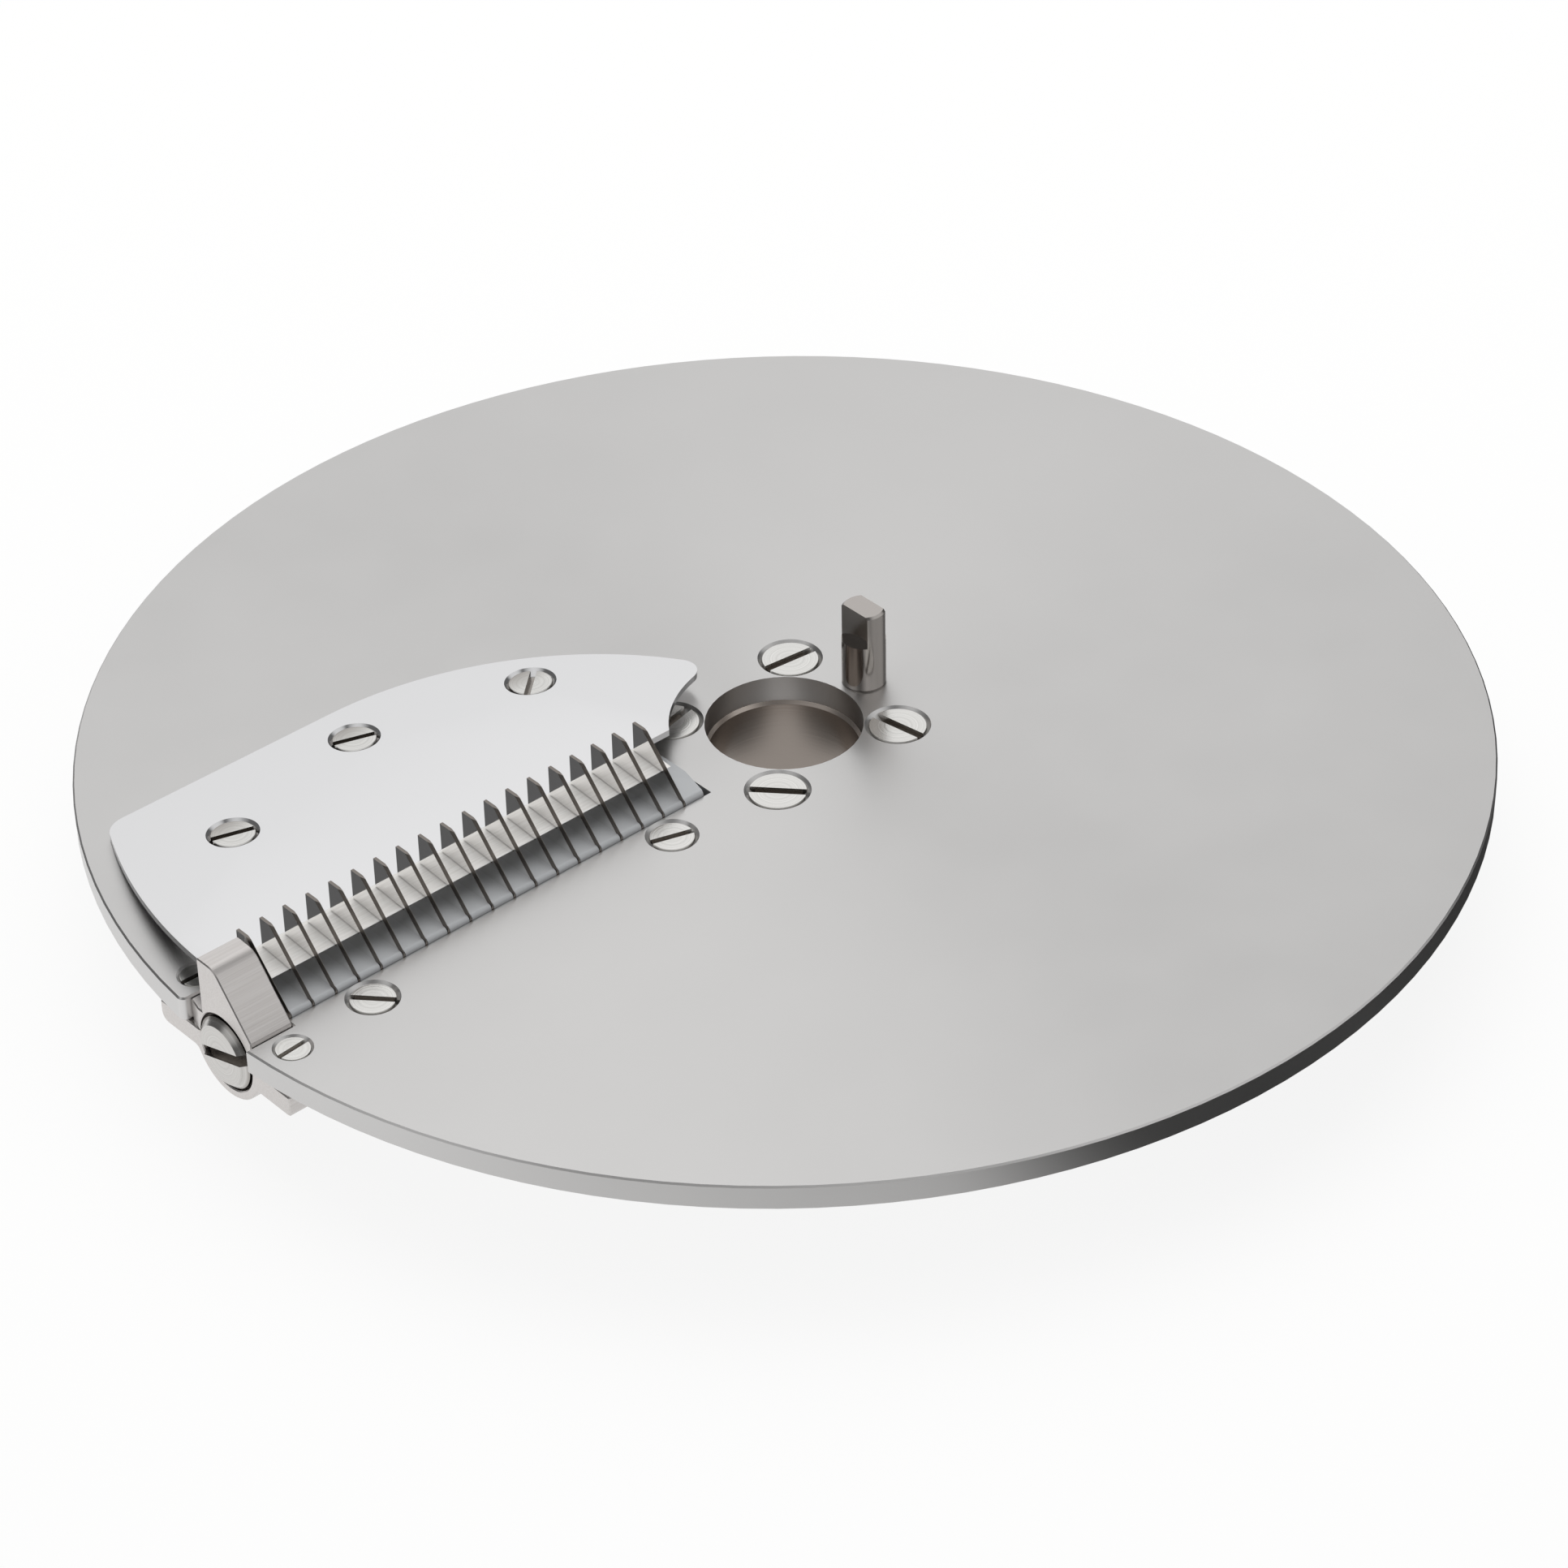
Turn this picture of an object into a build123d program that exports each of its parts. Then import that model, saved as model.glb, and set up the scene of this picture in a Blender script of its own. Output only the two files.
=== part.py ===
from build123d import *
from math import atan2, cos, degrees, floor, radians, sin, tan
import os

# Dicing disc of a vegetable cutter: a round plate with a raked slicing blade and a clamped comb
# of upright knives in front of its edge.
# Origin: centre of the hub's lower seat face. X runs along the comb, which lies on the -X side,
# with the drive pin on the +X side. Y points from the comb to behind the slicing blade. Z is up.
# Lengths are in millimetres and angles in degrees.

# Round plate
disc_diameter = 250.0
disc_thickness = 5.0
disc_bore_diameter = 28.2
rim_top_chamfer = 0.3
rim_bottom_chamfer = 0.6

# Hub under the plate
hub_length = 20.0
hub_bore_diameter = 27.0
hub_wall = 3.0
hub_flange_diameter = 52.0
hub_flange_thickness = 6.0
hub_flat_inset = 3.1
hub_fillet = 1.0
hub_chamfer = 0.6

# Drive pin with two flats at its top
pin_diameter = 8.0
pin_edge_inset = 6.8
pin_height = 15.8
pin_flat_height = 6.5
pin_flat_width = 4.3
pin_chamfer = 0.4
pin_base_chamfer = 0.3
pin_spigot_diameter = 6.0

# Slotted countersunk screws: head, shank, slot width, slot depth and the mouth of the countersink
hub_screw = {"head": 10.2, "shank": 6.0, "slot": 1.6, "slot_depth": 1.5, "mouth": 11.8}
blade_screw = {"head": 7.8, "shank": 4.0, "slot": 1.2, "slot_depth": 1.1, "mouth": 9.4}
rim_screw = {"head": 5.9, "shank": 3.0, "slot": 0.9, "slot_depth": 0.8, "mouth": 6.9}
screw_head_sink = 0.2
hub_screw_edge_inset = 5.9
hub_screw_slots = [-6.0, 12.0, -48.0, -81.0]
blade_screw_slots = [-20.0, -21.0, 42.0]
carrier_screw_slots = [-48.0, -18.0]
rim_screw_slots = [4.0, -1.0]
screw_gap = 0.05

# Slicing blade, raked so that its rear edge lies on the plate
blade_thickness = 1.2
blade_edge_height = 4.6
blade_edge_y = -1.2
blade_bevel_width = 7.8
blade_rear_y = 55.8
blade_rim_inset = 5.1
blade_rear_corner = 5.0
blade_back_radius = 60.8
blade_back_rim_inset = 67.0
blade_tip_radius = 4.0
blade_notch_radius = 27.3
blade_notch_x = 1.3
blade_notch_y = -9.3
blade_edge_overrun = 1.6
blade_edge_gap = 0.2
blade_screw_rim_inset = 65.2
blade_screw_spread = 32.9
blade_screw_side_y = 37.6
blade_screw_mid_y = 46.3
seat_front_y = 33.5
seat_rear_y = 51.0
seat_inset = 2.0

# Comb of knives and spacers on the tie screw
comb_y = -0.35
comb_radius = 6.45
tie_depth = 5.6
tie_front_offset = 0.45
knife_thickness = 0.6
knife_height = 11.1
knife_crest = 3.6
knife_bevel = 0.8
knife_bevel_depth = 0.2
knife_notch_gap = 0.12
spacer_thickness = 4.13
spacer_height = 1.0
spacer_round = 0.8
end_spacer_least = 4.5
end_spacer_chamfer_x = 1.6
end_spacer_chamfer_y = 6.7
comb_gap = 0.1

# End block at the rim
block_rim_inset = 1.4
block_length = 8.4
block_height = 10.75
block_front_y = -8.4
block_land = 0.5
block_crest_front_y = 0.4
block_crest_round = 3.5
block_rear_y = 5.0
block_shoulder_drop = 0.4
block_rear_gap = 0.15
block_corner_x = 0.8
block_corner_y = 3.0
block_boss_radius = 8.7
block_relief = 0.6
block_relief_height = 0.4

# Ears of the end block, under the plate
ear_thickness = 4.0
ear_half_width = 17.6
ear_length = 12.9
ear_front_round = 0.7
ear_rear_round = 1.8
ear_boss_fillet = 1.5

# Tie screw
tie_head_diameter = 13.2
tie_head_height = 3.6
tie_head_proud = 1.1
tie_head_chamfer = 1.2
tie_head_chamfer_depth = 1.1
tie_recess_diameter = 14.2
tie_shank_diameter = 6.0
tie_slot_width = 2.0
tie_slot_depth = 2.0
tie_slot_angle = -18.0
tie_end_inset = 1.2

# Carrier of the comb, under the plate
carrier_flange_thickness = 3.0
carrier_front_reach = 17.4
carrier_trough_wall = 1.6
carrier_inner_inset = 7.0
carrier_edge_chamfer = 0.5
carrier_screw_y = -11.7
carrier_screw_outer = 13.5
carrier_screw_inner = 13.0
rim_screw_inset = 6.4
rim_screw_y = 13.1

# Cut-outs of the plate
end_cut_front = 8.25
end_cut_rear = 9.5
end_cut_round = 1.2
throat_front_y = 5.0
throat_rear_y = 31.0
throat_rim_inset = 12.5
throat_hub_radius = 30.0
throat_inner_end = 22.0
throat_corner = 2.5
throat_ramp = 4.0
hub_flat_gap = 0.3

# Levels and places worked out from the sizes above
plate_bottom_z = hub_length
plate_top_z = hub_length + disc_thickness
rim_radius = disc_diameter / 2
tie_y = comb_y - tie_front_offset
tie_z = plate_top_z - tie_depth
block_outer_x = block_rim_inset - rim_radius
block_inner_x = block_outer_x + block_length
comb_outer_x = block_inner_x + block_relief
knife_pitch = knife_thickness + spacer_thickness
hub_barrel_diameter = hub_bore_diameter + 2 * hub_wall
hub_flat_x = hub_flat_inset - hub_flange_diameter / 2
hub_screw_radius = hub_flange_diameter / 2 - hub_screw_edge_inset
pin_offset = hub_flange_diameter / 2 - pin_edge_inset
comb_inner_x = hub_flat_x - hub_flat_gap
comb_room = comb_inner_x - comb_outer_x - end_spacer_least - knife_thickness
knife_count = 1 + floor(comb_room / knife_pitch)
last_knife_x = comb_outer_x + (knife_count - 1) * knife_pitch
end_spacer_x = last_knife_x + knife_thickness
blade_bevel_rear_y = blade_edge_y + blade_bevel_width
blade_rake = degrees(atan2(blade_edge_height, blade_rear_y - blade_edge_y))
carrier_bottom_z = plate_bottom_z - carrier_flange_thickness
ear_bottom_z = plate_bottom_z - ear_thickness
ear_end_x = ear_length - rim_radius


def upright(sketch, low, high):
    """Extrude an XY outline from one height to another."""
    return extrude(Plane.XY.offset(low) * sketch, amount=high - low)


def along_x(section, start, end):
    """Extrude a section drawn in Y and Z from one X to another."""
    return extrude(Plane.YZ.offset(start) * section, amount=end - start)


def polygon(*points):
    return make_face(Polyline(*points, close=True))


def span(x0, x1, y0, y1):
    """Rectangle between two corners."""
    return Pos((x0 + x1) / 2, (y0 + y1) / 2) * Rectangle(x1 - x0, y1 - y0)


def blade_under_z(y):
    """Height of the blade's underside."""
    return plate_top_z + (blade_rear_y - y) * tan(radians(blade_rake))


def blade_over_z(y):
    """Height of the blade's upper face behind the bevel."""
    return blade_under_z(y) + blade_thickness / cos(radians(blade_rake))


def blade_section(gap=0.0, rear=None):
    """Section of the raked blade with its bevel, grown by a gap."""
    rear_y = blade_rear_y + 1.0 if rear is None else rear
    return polygon(
        (blade_edge_y - 3 * gap, blade_under_z(blade_edge_y) - gap),
        (rear_y, blade_under_z(rear_y) - gap),
        (rear_y, blade_over_z(rear_y) + gap),
        (blade_bevel_rear_y, blade_over_z(blade_bevel_rear_y) + gap),
        (blade_edge_y - 3 * gap, blade_under_z(blade_edge_y) + gap),
    )


def blade_back(inset=0.0):
    """Area in front of the blade's rear edge: a straight stretch, then one large arc."""
    back_x = blade_back_rim_inset - rim_radius
    centre_y = blade_rear_y - blade_back_radius
    straight = span(-rim_radius, back_x, centre_y, blade_rear_y - inset)
    return straight + Pos(back_x, centre_y) * Circle(blade_back_radius - inset)


def blade_outline(inset=0.0):
    """Plan of the blade behind its bevel."""
    rim = Circle(rim_radius - blade_rim_inset - inset)
    behind = span(-rim_radius, rim_radius, blade_bevel_rear_y, blade_rear_y - inset)
    hub_notch = Pos(blade_notch_x, blade_notch_y) * Circle(blade_notch_radius)
    plan = rim & behind & blade_back(inset)
    return plan - hub_notch


def blade_plan():
    plan = blade_outline()
    tip = plan.vertices().sort_by(Axis.X)[-1]
    plan = fillet(tip, blade_tip_radius)
    corner = plan.vertices().group_by(Axis.Y)[-1].sort_by(Axis.X)[0]
    plan = fillet(corner, blade_rear_corner)
    edge = span(
        block_inner_x + blade_edge_gap,
        end_spacer_x + blade_edge_overrun,
        blade_edge_y - 1.0,
        blade_bevel_rear_y + 0.01,
    )
    return plan + edge


def blade_screw_spots():
    """Places of the blade screws, square to the blade's upper face."""
    top = Plane(
        origin=(0, blade_rear_y, blade_over_z(blade_rear_y)),
        x_dir=(1, 0, 0),
        z_dir=(0, sin(radians(blade_rake)), cos(radians(blade_rake))),
    )
    middle = blade_screw_rim_inset - rim_radius
    plan = [
        (middle - blade_screw_spread, blade_screw_side_y),
        (middle, blade_screw_mid_y),
        (middle + blade_screw_spread, blade_screw_side_y),
    ]
    return [top * Pos(x, (y - blade_rear_y) / cos(radians(blade_rake))) for x, y in plan]


def hub_screw_spots():
    spots = PolarLocations(hub_screw_radius, 4, start_angle=45, rotate=False)
    return [Pos(0, 0, plate_top_z) * spot for spot in spots]


def carrier_screw_spots():
    outer = Pos(comb_outer_x + carrier_screw_outer, carrier_screw_y, plate_top_z)
    return [outer, Pos(comb_inner_x - carrier_screw_inner, carrier_screw_y, plate_top_z)]


def rim_screw_spots():
    x = rim_screw_inset - rim_radius
    return [Pos(x, -rim_screw_y, plate_top_z), Pos(x, rim_screw_y, plate_top_z)]


def countersink(size, depth):
    """Cutter for one screw: countersink, then its hole down to a depth."""
    hole_radius = size["shank"] / 2 + screw_gap
    slope = size["mouth"] / 2 - hole_radius
    mouth = Pos(0, 0, -slope / 2) * Cone(hole_radius, size["mouth"] / 2, slope)
    over = Pos(0, 0, 0.5) * Cylinder(size["mouth"] / 2, 1.0)
    hole = Pos(0, 0, -depth / 2) * Cylinder(hole_radius, depth)
    return mouth + over + hole


def slotted_screw(size, depth, slot_angle):
    """Screw with a cylindrical edge above its 90 degree cone, its point at a depth below."""
    shank_radius = size["shank"] / 2
    head_radius = size["head"] / 2 - screw_gap
    cone_top = (size["mouth"] - size["head"]) / 2
    cone_height = head_radius - shank_radius
    cone = Pos(0, 0, -cone_top - cone_height / 2) * Cone(shank_radius, head_radius, cone_height)
    edge_height = cone_top - screw_head_sink
    edge = Pos(0, 0, -cone_top + edge_height / 2) * Cylinder(head_radius, edge_height)
    shank_length = depth - cone_top
    shank = Pos(0, 0, -cone_top - shank_length / 2) * Cylinder(shank_radius, shank_length)
    slot = Rot(0, 0, slot_angle) * Box(size["head"] + 1, size["slot"], 2 * size["slot_depth"])
    return cone + edge + shank - Pos(0, 0, -screw_head_sink) * slot


def screw_group(spots, size, depth, slots):
    """Like screws as separate solids of one node."""
    return Compound(children=[
        spot * slotted_screw(size, depth, angle) for spot, angle in zip(spots, slots)
    ])


def screw_holes(spots, size, depth):
    return [spot * countersink(size, depth) for spot in spots]


def plate_plan():
    """Round plan with the cut for the end block, whose rear corner is rounded."""
    cut = span(
        -rim_radius - 5,
        block_inner_x + comb_gap,
        comb_y - end_cut_front,
        comb_y + end_cut_rear,
    )
    plan = Circle(rim_radius) - cut
    corner = plan.vertices().sort_by_distance((-rim_radius, comb_y + end_cut_rear, 0))[0]
    return fillet(corner, end_cut_round)


def plate_blank():
    blank = upright(plate_plan(), plate_bottom_z, plate_top_z)
    top = blank.edges().group_by(Axis.Z)[-1]
    blank = chamfer(top, rim_top_chamfer)
    bottom = blank.edges().group_by(Axis.Z)[0]
    return chamfer(bottom, rim_bottom_chamfer)


def comb_cut():
    """Slot for the comb, inwards from the cut for the end block."""
    front_y = comb_y - comb_radius - comb_gap
    rear_y = comb_y + comb_radius + comb_gap
    slot = span(block_inner_x, comb_inner_x + comb_gap, front_y, rear_y)
    return upright(slot, plate_bottom_z - 1, plate_top_z + 1)


def throat_plan():
    """Opening under the blade that the cut strips fall through."""
    plan = Circle(rim_radius - throat_rim_inset) & span(
        -rim_radius, -throat_inner_end, throat_front_y, throat_rear_y
    )
    plan -= Circle(throat_hub_radius)
    rear = plan.vertices().group_by(Axis.Y)[-1]
    return fillet(rear, throat_corner)


def throat_cut():
    throat = upright(throat_plan(), plate_bottom_z - 1, plate_top_z + 1)
    ramp = polygon(
        (throat_rear_y - 1, plate_bottom_z + throat_ramp + 1),
        (throat_rear_y - 1, plate_bottom_z - 1),
        (throat_rear_y + throat_ramp + 1, plate_bottom_z - 1),
    )
    ramp_outer = throat_rim_inset + 3 * throat_corner - rim_radius
    return throat + along_x(ramp, ramp_outer, -throat_hub_radius)


def blade_seat():
    """Raked land under the rear half of the blade, part of the plate."""
    land = blade_outline(seat_inset) & span(
        -rim_radius, rim_radius, seat_front_y, seat_rear_y
    )
    wedge = polygon(
        (seat_front_y - 1, plate_top_z - 1),
        (seat_rear_y + 1, plate_top_z - 1),
        (seat_rear_y + 1, blade_under_z(seat_rear_y + 1)),
        (seat_front_y - 1, blade_under_z(seat_front_y - 1)),
    )
    prism = upright(land, plate_top_z - 0.5, plate_top_z + blade_edge_height)
    return prism & along_x(wedge, -rim_radius, rim_radius)


def pin_hole():
    """Cutter for the pin's spigot, through the plate and the hub's flange."""
    hole = Pos(pin_offset, 0) * Circle(pin_spigot_diameter / 2 + screw_gap)
    return upright(hole, plate_bottom_z - hub_flange_thickness - 1, plate_top_z + 1)


def disc_plate():
    plate = plate_blank() + blade_seat()
    plate -= upright(Circle(disc_bore_diameter / 2), plate_bottom_z - 1, plate_top_z + 1)
    plate -= comb_cut()
    plate -= throat_cut()
    plate -= pin_hole()
    plate -= screw_holes(hub_screw_spots(), hub_screw, disc_thickness + 1)
    plate -= screw_holes(carrier_screw_spots(), blade_screw, disc_thickness + 1)
    plate -= screw_holes(rim_screw_spots(), rim_screw, disc_thickness + 1)
    plate -= screw_holes(blade_screw_spots(), blade_screw, disc_thickness + 4)
    return plate


def hub():
    flange = upright(
        Circle(hub_flange_diameter / 2), plate_bottom_z - hub_flange_thickness, plate_bottom_z
    )
    barrel = upright(Circle(hub_barrel_diameter / 2), 0, plate_bottom_z)
    body = flange + barrel
    corner = body.edges().filter_by(GeomType.CIRCLE).filter_by(
        lambda edge: abs(edge.center().Z - (plate_bottom_z - hub_flange_thickness)) < 0.01
        and abs(edge.radius - hub_barrel_diameter / 2) < 0.01
    )
    body = fillet(corner, hub_fillet)
    body = chamfer(body.edges().group_by(Axis.Z)[0], hub_chamfer)
    body -= upright(Circle(hub_bore_diameter / 2), -1, plate_bottom_z + 1)
    bore_edges = body.edges().filter_by(GeomType.CIRCLE).filter_by(
        lambda edge: abs(edge.radius - hub_bore_diameter / 2) < 0.01
    )
    body = chamfer(bore_edges, hub_chamfer)
    body -= upright(
        span(-hub_flange_diameter, hub_flat_x, -hub_flange_diameter, hub_flange_diameter),
        -1,
        plate_bottom_z + 1,
    )
    body -= pin_hole()
    body -= screw_holes(hub_screw_spots(), hub_screw, disc_thickness + hub_flange_thickness + 1)
    return body


def drive_pin():
    """Pin that stands on the plate, held by a thinner spigot through plate and flange."""
    high = plate_top_z + pin_height
    pin = upright(Pos(pin_offset, 0) * Circle(pin_diameter / 2), plate_top_z, high)
    pin = chamfer(pin.edges().group_by(Axis.Z)[-1], pin_chamfer)
    pin = chamfer(pin.edges().group_by(Axis.Z)[0], pin_base_chamfer)
    spigot = Pos(pin_offset, 0) * Circle(pin_spigot_diameter / 2)
    pin += upright(spigot, plate_bottom_z - hub_flange_thickness, plate_top_z + pin_base_chamfer)
    for side in (-1, 1):
        flat_x = pin_offset + side * (pin_flat_width / 2 + pin_diameter / 2)
        pin -= upright(
            Pos(flat_x, 0) * Rectangle(pin_diameter, 2 * pin_diameter),
            high - pin_flat_height,
            high + 1,
        )
    return pin


def slicing_blade():
    plan = upright(blade_plan(), plate_top_z - 1, plate_top_z + 2 * blade_edge_height)
    blade = plan & along_x(blade_section(), -rim_radius, rim_radius)
    return blade - screw_holes(blade_screw_spots(), blade_screw, 3 * blade_thickness)


def comb_blank(top_z, front_round=0.0):
    """Round-bottomed plate of the comb, up to a height, with its hole for the tie screw."""
    blank = Pos(comb_y, tie_z) * Circle(comb_radius)
    blank += span(comb_y - comb_radius, comb_y + comb_radius, tie_z, top_z)
    if front_round > 0:
        corner = blank.vertices().group_by(Axis.Y)[-1].sort_by(Axis.X)[0]
        blank = fillet(corner, front_round)
    return blank - Pos(tie_y, tie_z) * Circle(tie_shank_diameter / 2 + screw_gap)


def comb_knife(number):
    """One upright knife, ground along its sloping front and notched for the slicing blade."""
    front_y = comb_y - comb_radius
    rear_y = comb_y + comb_radius
    spacer_top = plate_top_z + spacer_height
    knife_top = plate_top_z + knife_height
    fin = polygon(
        (front_y, spacer_top),
        (rear_y - knife_crest, knife_top),
        (rear_y, knife_top),
        (rear_y, spacer_top),
    )
    notch = blade_section(knife_notch_gap, rear_y + 1)
    profile = comb_blank(spacer_top) + fin - notch
    start = comb_outer_x + number * knife_pitch
    knife = along_x(profile, start, start + knife_thickness)
    for side in (0, -1):
        face = knife.faces().sort_by(Axis.X)[side]
        knife = chamfer(knife_slope(face), knife_bevel, knife_bevel_depth, reference=face)
    return knife


def knife_slope(face):
    """Sloping front edge of one flat side of a knife."""
    level = plate_top_z + (spacer_height + knife_height) / 2
    slanted = face.edges().filter_by(GeomType.LINE).filter_by(
        lambda edge: abs(edge.center().Z - level) < knife_bevel
        and min(abs(edge.tangent_at(0).Y), abs(edge.tangent_at(0).Z)) > 0.3
    )
    return slanted.sort_by(Axis.Y)[0]


def comb_spacer(number):
    blank = comb_blank(plate_top_z + spacer_height, spacer_round)
    start = comb_outer_x + knife_thickness + number * knife_pitch
    return along_x(blank, start, start + spacer_thickness)


def inner_end_spacer():
    """Last spacer, at the hub end, with its front corner cut off at a slant."""
    blank = comb_blank(plate_top_z + spacer_height, spacer_round)
    body = along_x(blank, end_spacer_x, comb_inner_x)
    front_y = comb_y - comb_radius
    corner = polygon(
        (comb_inner_x - end_spacer_chamfer_x, front_y - 1),
        (comb_inner_x - end_spacer_chamfer_x, front_y),
        (comb_inner_x, front_y + end_spacer_chamfer_y),
        (comb_inner_x + 1, front_y + end_spacer_chamfer_y),
        (comb_inner_x + 1, front_y - 1),
    )
    return body - upright(corner, tie_z - comb_radius, plate_top_z + 2 * spacer_height)


def block_section():
    """Section of the block from its crest down to its ears."""
    rear_y = comb_y + end_cut_rear - block_rear_gap
    crest_z = plate_top_z + block_height
    shoulder_z = plate_top_z - block_shoulder_drop
    section = polygon(
        (block_front_y, tie_z),
        (block_front_y, plate_top_z + block_land),
        (block_crest_front_y, crest_z),
        (block_rear_y, crest_z),
        (block_rear_y, shoulder_z),
        (rear_y, shoulder_z),
        (rear_y, tie_z),
    )
    crest = section.vertices().group_by(Axis.Y)[-1].sort_by(Axis.X)[0]
    return fillet(crest, block_crest_round)


def ear_section():
    """Section of the ears and the round boss between them, with fillets in the corners."""
    ears = span(
        comb_y - ear_half_width, comb_y + ear_half_width, ear_bottom_z, plate_bottom_z
    )
    ears = fillet(ears.vertices().group_by(Axis.Y)[0].sort_by(Axis.X)[-1], ear_rear_round)
    ears = fillet(ears.vertices().group_by(Axis.Y)[0].sort_by(Axis.X)[0], ear_front_round)
    boss = Pos(tie_y, tie_z) * Circle(block_boss_radius)
    section = ears + (boss & span(-rim_radius, rim_radius, 0, plate_bottom_z))
    corners = section.vertices().filter_by(
        lambda vertex: abs(vertex.Y - ear_bottom_z) < 0.01
        and abs(vertex.X - tie_y) < block_boss_radius
    )
    return fillet(corners, ear_boss_fillet)


def block_corner():
    """Wedge ground off the rear outer corner of the block, beside the rim of the plate."""
    rear_y = comb_y + end_cut_rear
    return polygon(
        (block_outer_x - 1, rear_y - block_corner_y),
        (block_outer_x, rear_y - block_corner_y),
        (block_outer_x + block_corner_x, rear_y),
        (block_outer_x - 1, rear_y),
    )


def ears_beside_comb():
    """The part of the ears' section that passes the comb's trough."""
    reach = block_boss_radius + ear_boss_fillet
    middle = span(tie_y - reach, tie_y + reach, 0, plate_bottom_z + 1)
    return ear_section() - middle


def end_block():
    """Ground block at the rim, with the boss for the tie screw's head and two ears."""
    section = block_section() + ear_section()
    block = along_x(section, block_outer_x, block_inner_x)
    block += along_x(ears_beside_comb(), block_inner_x, ear_end_x)
    pad = comb_blank(plate_top_z + block_relief_height)
    block += along_x(pad, block_inner_x, comb_outer_x)
    recess = Pos(tie_y, tie_z) * Circle(tie_recess_diameter / 2)
    hole = Pos(tie_y, tie_z) * Circle(tie_shank_diameter / 2 + screw_gap)
    block -= along_x(recess, block_outer_x - 1, tie_seat_x())
    block -= along_x(hole, block_outer_x, comb_outer_x)
    block -= upright(block_corner(), plate_bottom_z, plate_top_z)
    return block - screw_holes(rim_screw_spots(), rim_screw, disc_thickness + ear_thickness + 1)


def tie_seat_x():
    """Face in the block that the tie screw's head pulls against."""
    return block_outer_x - tie_head_proud + tie_head_height


def tie_screw():
    head_x = block_outer_x - tie_head_proud
    head = along_x(Pos(tie_y, tie_z) * Circle(tie_head_diameter / 2), head_x, tie_seat_x())
    front = head.faces().sort_by(Axis.X)[0]
    head = chamfer(
        front.edges(), tie_head_chamfer, tie_head_chamfer_depth, reference=front
    )
    shank = Pos(tie_y, tie_z) * Circle(tie_shank_diameter / 2)
    screw = head + along_x(shank, tie_seat_x(), comb_inner_x - tie_end_inset)
    slot = Pos(tie_y, tie_z) * Rot(0, 0, tie_slot_angle) * Rectangle(
        tie_head_diameter + 2, tie_slot_width
    )
    return screw - along_x(slot, head_x - 1, head_x + tie_slot_depth)


def carrier_trough():
    """Round trough that the comb lies in."""
    wall = Pos(comb_y, tie_z) * Circle(comb_radius + comb_gap + carrier_trough_wall)
    below = span(-rim_radius, rim_radius, 0, plate_bottom_z)
    inner = Pos(comb_y, tie_z) * Circle(comb_radius + comb_gap)
    mouth = span(
        comb_y - comb_radius - comb_gap, comb_y + comb_radius + comb_gap, tie_z, plate_top_z
    )
    return wall & below, inner + mouth


def carrier_flange():
    """Flange under the plate, in front of the comb and next to the end block's ear."""
    plan = span(
        ear_end_x + comb_gap,
        comb_inner_x - carrier_inner_inset,
        comb_y - carrier_front_reach,
        comb_y,
    )
    flange = upright(plan, carrier_bottom_z, plate_bottom_z)
    front = flange.edges().filter_by(Axis.X).group_by(Axis.Z)[0].sort_by(Axis.Y)[0]
    return chamfer(front, carrier_edge_chamfer)


def comb_carrier():
    wall, channel = carrier_trough()
    body = carrier_flange() + along_x(wall, block_inner_x + comb_gap, comb_inner_x)
    body -= along_x(channel, -rim_radius, comb_inner_x + 1)
    depth = disc_thickness + carrier_flange_thickness + 1
    return body - screw_holes(carrier_screw_spots(), blade_screw, depth)


def write(node, solid):
    solid.label = node
    export_step(solid, os.path.join("parts", node + ".step"))


def main():
    os.makedirs("parts", exist_ok=True)
    hub_screw_depth = disc_thickness + hub_flange_thickness
    carrier_screw_depth = disc_thickness + carrier_flange_thickness
    rim_screw_depth = disc_thickness + ear_thickness
    blade_screw_depth = blade_thickness + disc_thickness
    write("disc_plate", disc_plate())
    write("hub", hub())
    write("drive_pin", drive_pin())
    write("hub_screws", screw_group(
        hub_screw_spots(), hub_screw, hub_screw_depth, hub_screw_slots))
    write("slicing_blade", slicing_blade())
    write("blade_screws", screw_group(
        blade_screw_spots(), blade_screw, blade_screw_depth, blade_screw_slots))
    write("comb_carrier", comb_carrier())
    write("carrier_screws", screw_group(
        carrier_screw_spots(), blade_screw, carrier_screw_depth, carrier_screw_slots))
    write("rim_screws", screw_group(
        rim_screw_spots(), rim_screw, rim_screw_depth, rim_screw_slots))
    write("end_block", end_block())
    write("tie_screw", tie_screw())
    write("inner_end_spacer", inner_end_spacer())
    for number in range(knife_count):
        write(f"comb_knife_{number + 1:02d}", comb_knife(number))
    for number in range(knife_count - 1):
        write(f"comb_spacer_{number + 1:02d}", comb_spacer(number))
    print("knives", knife_count, "blade rake", round(blade_rake, 2))


main()
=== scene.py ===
import math
import bmesh
import bpy
from mathutils import Matrix, Vector


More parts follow.
